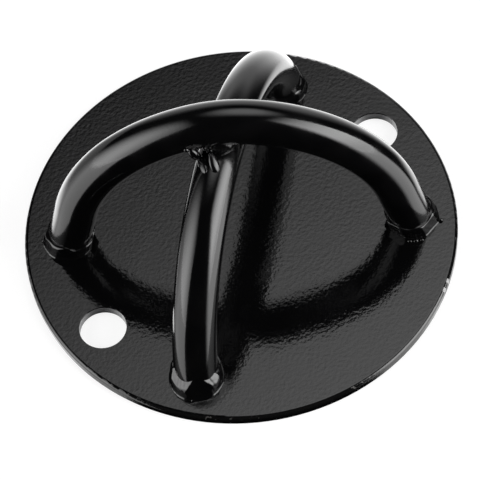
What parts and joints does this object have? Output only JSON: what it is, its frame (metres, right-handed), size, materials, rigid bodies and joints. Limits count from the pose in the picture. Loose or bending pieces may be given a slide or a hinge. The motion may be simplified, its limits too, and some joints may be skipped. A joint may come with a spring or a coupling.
{
  "type": "ceiling hook",
  "caption": "Ceiling hook: a round steel plate with screw holes and crossing arched round bars welded to it, painted gloss black, for hanging a punchbag, swing or hammock.",
  "frame": {"origin": "middle of the plate's underside, which is the mounting face", "axes": "+Z out of the plate's face, towards the crown of the bars (downwards once the hook is screwed to a ceiling); X through both screw holes; the upper bar's feet lie 37 degrees round from X towards -Y, the lower bar's 37 degrees towards +Y"},
  "size_m": [0.12, 0.12, 0.062],
  "materials": {
    "plate_paint": "gloss black paint with a fine orange peel, worn thin along the rim",
    "bar_paint": "smooth gloss black paint",
    "weld_paint": "gloss black paint over an uneven weld bead"
  },
  "bodies": {
    "root": {"base_plate": "plate_paint", "upper_bar": "bar_paint", "lower_bar": "bar_paint", "weld_upper_bar_right": "weld_paint", "weld_upper_bar_left": "weld_paint", "weld_lower_bar_rear": "weld_paint", "weld_lower_bar_front": "weld_paint", "weld_crossing": "weld_paint"}
  },
  "joints": []
}
